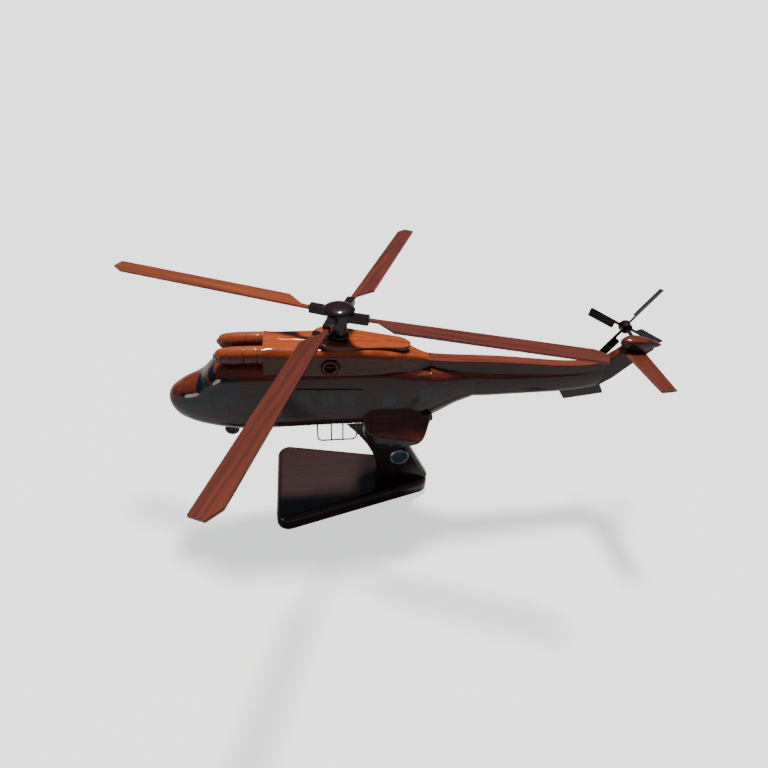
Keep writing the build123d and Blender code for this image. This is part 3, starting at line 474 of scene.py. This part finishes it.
zinc = lacquer("zinc_plate", (0.50, 0.50, 0.52), 0.22, 0.40, metallic=1.0, coat=0.0)
enamel = lacquer("blue_grey_enamel", (0.030, 0.060, 0.072), 0.10, 0.20)
rim_metal = lacquer("pale_rim_metal", (0.34, 0.38, 0.40), 0.20, 0.34, metallic=0.9)
print("materials:", len(bpy.data.materials))

# %% [markdown]
# Felt is not shiny at all. It is a mat of short hairs, so it gets a rough surface, a soft sheen and
# a lumpy height. The floor is pale paint with a trace of unevenness.

# %% Felt and floor materials
felt, felt_tree, felt_shader = new_material("green_felt")
felt_vector = object_millimetres(felt_tree)
fibres = stretched_noise(felt_tree, felt_vector, (2.4, 2.4, 2.4), 5.0, 0.7)
felt_colour = mix_colour(felt_tree, fibres, (0.010, 0.030, 0.016, 1), (0.035, 0.085, 0.045, 1))
felt_tree.links.new(felt_colour, felt_shader.inputs["Base Color"])
felt_shader.inputs["Roughness"].default_value = 0.95
felt_shader.inputs["Sheen Weight"].default_value = 0.4
add_bump(felt_tree, felt_shader, fibres, 0.0003)

floor_paint, floor_tree, floor_shader = new_material("pale_floor")
floor_noise = stretched_noise(floor_tree, object_millimetres(floor_tree), (0.004, 0.004, 0.004), 3.0)
floor_colour = mix_colour(floor_tree, floor_noise, (0.86, 0.86, 0.86, 1), (0.90, 0.90, 0.90, 1))
floor_seen = floor_tree.nodes.new("ShaderNodeLightPath").outputs["Is Camera Ray"]
floor_tone = mix_colour(floor_tree, floor_seen, (0.46, 0.46, 0.47, 1), floor_colour)
floor_glow = mix_colour(floor_tree, floor_seen, (0, 0, 0, 1), (1, 1, 1, 1))
floor_tree.links.new(floor_tone, floor_shader.inputs["Base Color"])
floor_tree.links.new(floor_glow, floor_shader.inputs["Emission Color"])
floor_shader.inputs["Roughness"].default_value = 0.8
floor_shader.inputs["Emission Strength"].default_value = 1.1
floor_shader.inputs["Specular IOR Level"].default_value = 0.2
floor.data.materials.append(floor_paint)
print("felt and floor ready")

# %% [markdown]
# ## Smooth skins over the CAD parts
# The CAD parts arrive as loose flat triangles, and varnish would show every one. Each visible part
# gets a skin: a copy of its mesh with the doubled corners merged, shaded smooth, and with edges
# kept sharp only where two faces meet at a real angle. Parts that a carver would have rounded over
# with sandpaper also get a narrow bevel.

# %% The skin helper
MERGE_DISTANCE = 0.000002
SHARP_ANGLE = math.radians(32)
BEVEL_ANGLE = math.radians(40)
BEVEL_STEPS = 3
AREA_WEIGHT = 100


def skin(node, material, bevel=0.0, sharp=SHARP_ANGLE, true_form=False):
    """A merged, smooth-shaded copy of a CAD node that stands for it."""
    piece = bpy.data.objects.new(node + "_skin", nodes[node].data.copy())
    bpy.context.scene.collection.objects.link(piece)
    work = bmesh.new()
    work.from_mesh(piece.data)
    bmesh.ops.remove_doubles(work, verts=work.verts, dist=MERGE_DISTANCE)
    for face in work.faces:
        face.smooth = True
    work.to_mesh(piece.data)
    work.free()
    piece.data.set_sharp_from_angle(angle=sharp)
    piece.data.materials.clear()
    piece.data.materials.append(material)
    if bevel:
        rounding = piece.modifiers.new("sanded_edges", "BEVEL")
        rounding.width = bevel
        rounding.segments = BEVEL_STEPS
        rounding.limit_method = "ANGLE"
        rounding.angle_limit = BEVEL_ANGLE
        rounding.harden_normals = False
    if true_form:
        lay_cabin_normals(piece)
    else:
        even = piece.modifiers.new("even_normals", "WEIGHTED_NORMAL")
        even.keep_sharp = True
        even.weight = AREA_WEIGHT
    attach(piece, nodes[node]["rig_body"])
    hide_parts(node)
    return piece


def paint(node, material):
    """Puts a material on a CAD node that is shown as it is."""
    nodes[node].data.materials.clear()
    nodes[node].data.materials.append(material)


# %% [markdown]
# The cabin's triangles are long and thin around its windows, and normals averaged from them would
# ripple in the varnish. Its true form is simple: at each station along its length it is a rounded
# section with a lowest, a widest and a highest line. The normals are worked out from those lines
# and laid on the outer faces of the cabin and of the panes that lie flush in it.

# %% True normals for the cabin
# x, lowest z, widest z, highest z, half width, squareness; in millimetres, nose to boom
CABIN_STATIONS = (
    (-133.6, 122.6, 123.0, 123.4, 0.4, 2.0),
    (-133.0, 118.6, 123.0, 127.2, 4.2, 2.0),
    (-131.0, 112.8, 123.0, 131.2, 8.0, 2.05),
    (-127.0, 107.0, 122.6, 134.8, 11.4, 2.1),
    (-120.0, 102.6, 122.2, 139.2, 14.8, 2.2),
    (-112.0, 99.8, 122.0, 142.6, 17.3, 2.35),
    (-106.0, 98.6, 122.5, 146.0, 18.8, 2.5),
    (-99.0, 97.9, 123.0, 152.8, 20.2, 2.8),
    (-92.0, 97.6, 123.5, 157.4, 21.5, 3.1),
    (-84.0, 97.5, 124.0, 159.2, 22.6, 3.5),
    (-70.0, 97.5, 124.0, 160.0, 23.5, 3.75),
    (-45.0, 97.5, 124.0, 160.0, 23.75, 3.75),
    (0.0, 97.5, 124.0, 160.0, 23.75, 3.75),
    (38.0, 97.5, 124.0, 159.0, 23.75, 3.75),
    (58.0, 97.5, 124.0, 154.0, 22.6, 3.6),
    (74.0, 97.8, 124.5, 148.5, 19.0, 3.2),
    (88.0, 102.5, 126.5, 145.0, 15.0, 2.9),
    (102.0, 109.0, 128.5, 142.8, 11.8, 2.7),
    (114.5, 113.8, 129.0, 141.6, 9.8, 2.6),
)
OUTER_FACE = math.cos(math.radians(28))
NOSE_END = -128.0


def station_slopes():
    """Slope of every column at every station, from the stations on both sides of it."""
    rows = CABIN_STATIONS
    slopes = []
    for i, row in enumerate(rows):
        before = rows[max(i - 1, 0)]
        after = rows[min(i + 1, len(rows) - 1)]
        slopes.append([(b - a) / (after[0] - before[0]) for a, b in zip(before[1:], after[1:])])
    return slopes


CABIN_SLOPES = station_slopes()


def cabin_section(x):
    """The section's five numbers at x, on smooth curves through the stations."""
    rows = CABIN_STATIONS
    i = next((k for k in range(len(rows) - 2) if x < rows[k + 1][0]), len(rows) - 2)
    width = rows[i + 1][0] - rows[i][0]
    t = (x - rows[i][0]) / width
    weights = (2 * t**3 - 3 * t**2 + 1, t**3 - 2 * t**2 + t, 3 * t**2 - 2 * t**3, t**3 - t**2)
    section = []
    for column in range(5):
        parts = (rows[i][column + 1], CABIN_SLOPES[i][column] * width,
                 rows[i + 1][column + 1], CABIN_SLOPES[i + 1][column] * width)
        section.append(sum(w * p for w, p in zip(weights, parts)))
    return section


def cabin_level(x, y, z):
    """About 1 on the cabin's surface, less inside and more outside."""
    low, middle, top, half, power = cabin_section(x)
    height = (top - middle) if z > middle else (middle - low)
    return (abs(y / half) ** power + abs((z - middle) / height) ** power) ** (1 / power)


def cabin_normal(place):
    """Outward direction of the cabin at a place given in metres."""
    x, y, z = (value / MM for value in place)
    step = 0.05
    slope = Vector((
        cabin_level(x + step, y, z) - cabin_level(x - step, y, z),
        cabin_level(x, y + step, z) - cabin_level(x, y - step, z),
        cabin_level(x, y, z + step) - cabin_level(x, y, z - step),
    ))
    return slope.normalized()


def lay_cabin_normals(piece):
    """Puts the true normals on the outer faces of a piece and leaves its other faces flat."""
    mesh = piece.data
    true_normals = {}
    corners = [None] * len(mesh.loops)
    laid = 0
    for face in mesh.polygons:
        if face.center.x < NOSE_END * MM:
            outer = False
        else:
            outer = face.normal.dot(cabin_normal(face.center)) > OUTER_FACE
        for loop, vertex in zip(face.loop_indices, face.vertices):
            if outer:
                if vertex not in true_normals:
                    true_normals[vertex] = cabin_normal(mesh.vertices[vertex].co)
                corners[loop] = true_normals[vertex]
                laid += 1
            else:
                corners[loop] = mesh.corner_normals[loop].vector.copy()
    mesh.normals_split_custom_set(corners)
    print(piece.name, "corners laid", laid, "of", len(corners))


# %% [markdown]
# The airframe comes first. The cabin, boom and tail are brown mahogany, the cowl and the turned
# nacelles are lighter and redder, and the glazing is let into the surface under the same varnish.
# The brown is darker partly as painted shade for the cabin's sides.

# %% Skins of the airframe
skin("fuselage", body_wood, true_form=True)
skin("tail_boom", body_wood)
# The sponsons' darker wood is painted shade.
for node in ("sponson_port", "sponson_starboard"):
    skin(node, shaded_sponson_wood)
skin("engine_cowl", cowl_wood)
skin("gearbox_fairing", cowl_wood)
skin("boom_spine", spine_wood)
for node in ("tail_pylon", "tail_gearbox_fairing"):
    skin(node, tail_wood)
skin("stabiliser", stabiliser_wood)
skin("ventral_fin", tail_wood, bevel=0.4 * MM)
for side in ("port", "starboard"):
    skin(f"nacelle_{side}", nacelle_wood)
    skin(f"exhaust_{side}", body_wood)
    skin(f"door_rail_{side}", body_wood)
for node in ("windscreen_lower", "windscreen_upper"):
    skin(node, glazing, true_form=True)
for side in ("port", "starboard"):
    for kind in ("side_panes", "chin_panes", "cabin_windows"):
        skin(f"{kind}_{side}", glazing, true_form=True)

# %% [markdown]
# ## Rotors
# Each main blade is a thin board sawn along its length, so its grain follows its own azimuth. The
# blade's direction is measured on the CAD mesh, as the line from the mast to the middle of its
# far end. The grips and the hub dome are stained nearly black.

# %% Skins of the rotors


def azimuth_of(node):
    """Angle of a blade about the mast, from the corners furthest out."""
    corners = [v.co for v in nodes[node].data.vertices]
    reach = max(math.hypot(c.x, c.y) for c in corners)
    tip = [c for c in corners if math.hypot(c.x, c.y) > reach * 0.97]
    middle = sum(tip, Vector()) / len(tip)
    return math.atan2(middle.y, middle.x)


BLADE_TONES = (
    (0.50, 0.105, 0.030),
    (0.26, 0.050, 0.024),
    (0.22, 0.042, 0.020),
    (0.22, 0.045, 0.026),
)
for number, light in enumerate(BLADE_TONES, start=1):
    node = f"main_blade_{number}"
    azimuth = azimuth_of(node)
    dark = tuple(channel * 0.33 for channel in light)
    blade_wood = varnished_wood(f"blade_wood_{number}", light, dark, turn=(0, 0, -azimuth),
                                shift=(37 * number, 13 * number, 5), pores=0.55, gloss=0.08)
    skin(node, blade_wood, bevel=0.5 * MM)
    skin(f"blade_grip_{number}", night_wood)
    skin(f"tail_blade_{number}", tail_blade_wood, bevel=0.2 * MM)
    print(node, "azimuth", round(math.degrees(azimuth), 1))
skin("hub_dome", night_wood)
skin("tail_hub_cap", cap_wood)
skin("tail_hub_disc", night_wood)
for node in ("rotor_mast", "mast_collar", "rotor_hub", "rotor_washer"):
    skin(node, black_gloss)
skin("tail_shaft", wire_metal)
paint("rotor_spindle", wire_metal)

# %% [markdown]
# ## Stand and nose gear
# The base and the upright are the darkest wood on the model, polished like a piano. The screws and
# dowels are inside, out of sight, and keep plain finishes.

# %% Skins of the stand and the nose gear
skin("base_plate", stand_wood)
skin("stand_upright", upright_wood, bevel=0.4 * MM)
skin("nose_leg", wire_metal)
skin("nose_axle", wire_metal)
for side in ("port", "starboard"):
    skin(f"nose_wheel_{side}", wheel_black)
paint("base_felt", felt)
paint("stand_screws", zinc)
for node in ("stand_dowels", "nacelle_dowels", "boom_dowels"):
    paint(node, dowel_wood)

# %% [markdown]
# ## Boarding steps by geometry nodes
# A step is one bent wire with two short struts, soldered where they meet. Geometry nodes suit it: a
# path goes in, a tube and a bead at every joint come out, and the wire's radius is one number.

# %% The wire frame tree


def wire_frame_tree():
    """Turns edges into round wire with a solder bead on every point marked as a joint."""
    tree = bpy.data.node_groups.new("wire_frame", "GeometryNodeTree")
    tree.interface.new_socket("Geometry", in_out="INPUT", socket_type="NodeSocketGeometry")
    for label, default in (("Wire Radius", 0.0006), ("Bead Radius", 0.0009)):
        socket = tree.interface.new_socket(label, in_out="INPUT", socket_type="NodeSocketFloat")
        socket.default_value = default
    tree.interface.new_socket("Material", in_out="INPUT", socket_type="NodeSocketMaterial")
    tree.interface.new_socket("Geometry", in_out="OUTPUT", socket_type="NodeSocketGeometry")
    start = tree.nodes.new("NodeGroupInput")
    end = tree.nodes.new("NodeGroupOutput")
    to_curve = tree.nodes.new("GeometryNodeMeshToCurve")
    circle = tree.nodes.new("GeometryNodeCurvePrimitiveCircle")
    circle.inputs["Resolution"].default_value = 16
    sweep = tree.nodes.new("GeometryNodeCurveToMesh")
    sweep.inputs["Fill Caps"].default_value = True
    ends = tree.nodes.new("GeometryNodeInputNamedAttribute")
    ends.data_type = "BOOLEAN"
    ends.inputs["Name"].default_value = "joint"
    bead = tree.nodes.new("GeometryNodeMeshIcoSphere")
    bead.inputs["Subdivisions"].default_value = 3
    to_points = tree.nodes.new("GeometryNodeMeshToPoints")
    place = tree.nodes.new("GeometryNodeInstanceOnPoints")
    join = tree.nodes.new("GeometryNodeJoinGeometry")
    smooth = tree.nodes.new("GeometryNodeSetShadeSmooth")
    real = tree.nodes.new("GeometryNodeRealizeInstances")
    finish = tree.nodes.new("GeometryNodeSetMaterial")
    link = tree.links.new
    link(start.outputs["Geometry"], to_curve.inputs["Mesh"])
    link(start.outputs["Wire Radius"], circle.inputs["Radius"])
    link(to_curve.outputs[0], sweep.inputs["Curve"])
    link(circle.outputs[0], sweep.inputs["Profile Curve"])
    link(start.outputs["Geometry"], to_points.inputs["Mesh"])
    link(ends.outputs["Attribute"], to_points.inputs["Selection"])
    link(to_points.outputs[0], place.inputs["Points"])
    link(start.outputs["Bead Radius"], bead.inputs["Radius"])
    link(bead.outputs["Mesh"], place.inputs["Instance"])
    link(sweep.outputs[0], join.inputs[0])
    link(place.outputs[0], join.inputs[0])
    link(join.outputs[0], real.inputs[0])
    link(real.outputs[0], smooth.inputs[0])
    link(smooth.outputs[0], finish.inputs["Geometry"])
    link(start.outputs["Material"], finish.inputs["Material"])
    link(finish.outputs[0], end.inputs[0])
    return tree


def run_tree(piece, tree, settings):
    """Gives a piece the tree's result as a plain mesh."""
    modifier = piece.modifiers.new(tree.name, "NODES")
    modifier.node_group = tree
    for item in tree.interface.items_tree:
        if item.in_out == "INPUT" and item.name in settings:
            modifier[item.identifier] = settings[item.name]
    graph = bpy.context.evaluated_depsgraph_get()
    result = bpy.data.meshes.new_from_object(piece.evaluated_get(graph))
    piece.modifiers.remove(modifier)
    piece.data = result
    return piece


# %% Bend and solder the two steps
WIRE_RADIUS = 0.6 * MM
SOLDER_BEAD = 1.5 * WIRE_RADIUS
CORNER_RADIUS = 4.0 * MM
CORNER_STEPS = 8
STRUT_SHARES = (0.35, 0.645)    # where the struts stand between the front and rear legs
step_tree = wire_frame_tree()
for side in ("port", "starboard"):
    low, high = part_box(f"boarding_step_{side}")
    middle_y = (low.y + high.y) / 2
    front, rear = low.x + WIRE_RADIUS, high.x - WIRE_RADIUS
    foot, top = low.z + WIRE_RADIUS, high.z
    path = [(front, top)]
    for corner_x, start_angle in ((front + CORNER_RADIUS, 180), (rear - CORNER_RADIUS, 270)):
        for step in range(CORNER_STEPS + 1):
            angle = math.radians(start_angle + 90 * step / CORNER_STEPS)
            bend_x = corner_x + CORNER_RADIUS * math.cos(angle)
            bend_z = foot + CORNER_RADIUS * (1 + math.sin(angle))
            path.append((bend_x, bend_z))
    path.append((rear, top))
    edges = [(i, i + 1) for i in range(len(path) - 1)]
    joints = [False] * len(path)
    for share in STRUT_SHARES:
        strut_x = front + (rear - front) * share
        edges.append((len(path), len(path) + 1))
        path += [(strut_x, foot), (strut_x, top)]
        joints += [True, False]
    mesh = bpy.data.meshes.new(f"step_path_{side}")
    mesh.from_pydata([(x, middle_y, z) for x, z in path], edges, [])
    flags = mesh.attributes.new("joint", "BOOLEAN", "POINT")
    flags.data.foreach_set("value", joints)
    step_wire = bpy.data.objects.new(f"step_wire_{side}", mesh)
    bpy.context.scene.collection.objects.link(step_wire)
    run_tree(step_wire, step_tree, {
        "Wire Radius": WIRE_RADIUS,
        "Bead Radius": SOLDER_BEAD,
        "Material": wire_metal,
    })
    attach(step_wire, "airframe")
    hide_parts(f"boarding_step_{side}")
    print(step_wire.name, "faces", len(step_wire.data.polygons))

# %% [markdown]
# ## Medallion
# The round plate on the upright is a turned disc: a pale metal rim with a ring of small beads
# around a blank enamel field. The beads repeat, so a second tree sets them round the rim.

# %% Turn the disc and bead its rim
BEADS = 40


def bead_ring_tree():
    """Sets small beads on the points of a ring."""
    tree = bpy.data.node_groups.new("bead_ring", "GeometryNodeTree")
    tree.interface.new_socket("Geometry", in_out="INPUT", socket_type="NodeSocketGeometry")
    count = tree.interface.new_socket("Count", in_out="INPUT", socket_type="NodeSocketInt")
    count.default_value = BEADS
    for label, default in (("Ring Radius", 0.008), ("Bead Radius", 0.0004)):
        socket = tree.interface.new_socket(label, in_out="INPUT", socket_type="NodeSocketFloat")
        socket.default_value = default
    tree.interface.new_socket("Place", in_out="INPUT", socket_type="NodeSocketVector")
    tree.interface.new_socket("Material", in_out="INPUT", socket_type="NodeSocketMaterial")
    tree.interface.new_socket("Geometry", in_out="OUTPUT", socket_type="NodeSocketGeometry")
    start = tree.nodes.new("NodeGroupInput")
    end = tree.nodes.new("NodeGroupOutput")
    ring = tree.nodes.new("GeometryNodeMeshCircle")
    bead = tree.nodes.new("GeometryNodeMeshIcoSphere")
    bead.inputs["Subdivisions"].default_value = 2
    stand_up = tree.nodes.new("GeometryNodeTransform")
    stand_up.inputs["Rotation"].default_value = (math.radians(90), 0, 0)
    place = tree.nodes.new("GeometryNodeInstanceOnPoints")
    join = tree.nodes.new("GeometryNodeJoinGeometry")
    smooth = tree.nodes.new("GeometryNodeSetShadeSmooth")
    real = tree.nodes.new("GeometryNodeRealizeInstances")
    finish = tree.nodes.new("GeometryNodeSetMaterial")
    link = tree.links.new
    link(start.outputs["Count"], ring.inputs["Vertices"])
    link(start.outputs["Ring Radius"], ring.inputs["Radius"])
    link(start.outputs["Bead Radius"], bead.inputs["Radius"])
    link(ring.outputs["Mesh"], stand_up.inputs["Geometry"])
    link(start.outputs["Place"], stand_up.inputs["Translation"])
    link(stand_up.outputs[0], place.inputs["Points"])
    link(bead.outputs["Mesh"], place.inputs["Instance"])
    link(place.outputs[0], join.inputs[0])
    link(start.outputs["Geometry"], join.inputs[0])
    link(join.outputs[0], real.inputs[0])
    link(real.outputs[0], smooth.inputs[0])
    link(smooth.outputs[0], finish.inputs["Geometry"])
    link(start.outputs["Material"], finish.inputs["Material"])
    link(finish.outputs[0], end.inputs[0])
    return tree


def turned(name, profile, centre, material, segments=72):
    """A solid of revolution about -Y from (radius, outward) pairs, as one closed mesh."""
    work = bmesh.new()
    rings = []
    for radius, out in profile:
        if radius == 0:
            rings.append([work.verts.new(centre + Vector((0, -out, 0)))])
            continue
        ring = []
        for i in range(segments):
            angle = 2 * math.pi * i / segments
            spoke = Vector((radius * math.cos(angle), -out, radius * math.sin(angle)))
            ring.append(work.verts.new(centre + spoke))
        rings.append(ring)
    for inner, outer in zip(rings, rings[1:]):
        for i in range(segments):
            j = (i + 1) % segments
            corners = [inner[i % len(inner)], inner[j % len(inner)]]
            corners += [outer[j % len(outer)], outer[i % len(outer)]]
            work.faces.new(list(dict.fromkeys(corners)))
    bmesh.ops.recalc_face_normals(work, faces=work.faces)
    for face in work.faces:
        face.smooth = True
    mesh = bpy.data.meshes.new(name)
    work.to_mesh(mesh)
    work.free()
    mesh.set_sharp_from_angle(angle=SHARP_ANGLE)
    mesh.materials.append(material)
    piece = bpy.data.objects.new(name, mesh)
    bpy.context.scene.collection.objects.link(piece)
    return piece


low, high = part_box("stand_medallion")
disc_centre = Vector(((low.x + high.x) / 2, high.y, (low.z + high.z) / 2))
disc_radius = (high.x - low.x) / 2
disc_height = high.y - low.y
rim_inner = disc_radius - 1.5 * MM
rim = turned(
    "medallion_rim",
    [(0, 0), (disc_radius, 0), (disc_radius, disc_height * 0.6), (disc_radius - 0.3 * MM, disc_height * 0.9),
     (disc_radius - 1.2 * MM, disc_height * 0.9), (rim_inner, disc_height * 0.5), (0, disc_height * 0.5)],
    disc_centre,
    rim_metal,
)
run_tree(rim, bead_ring_tree(), {
    "Count": BEADS,
    "Ring Radius": disc_radius - 0.75 * MM,
    "Bead Radius": 0.42 * MM,
    "Place": tuple(disc_centre + Vector((0, -disc_height * 0.75, 0))),
    "Material": rim_metal,
})
field = turned(
    "medallion_field",
    [(0, disc_height * 0.3), (rim_inner - 0.1 * MM, disc_height * 0.3),
     (rim_inner - 0.1 * MM, disc_height * 0.55), (rim_inner * 0.6, disc_height * 0.75),
     (0, disc_height * 0.82)],
    disc_centre,
    enamel,
)
for piece in (rim, field):
    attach(piece, "airframe")
    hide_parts("stand_medallion")
print("medallion radius", round(disc_radius / MM, 2), "mm, beads", BEADS)
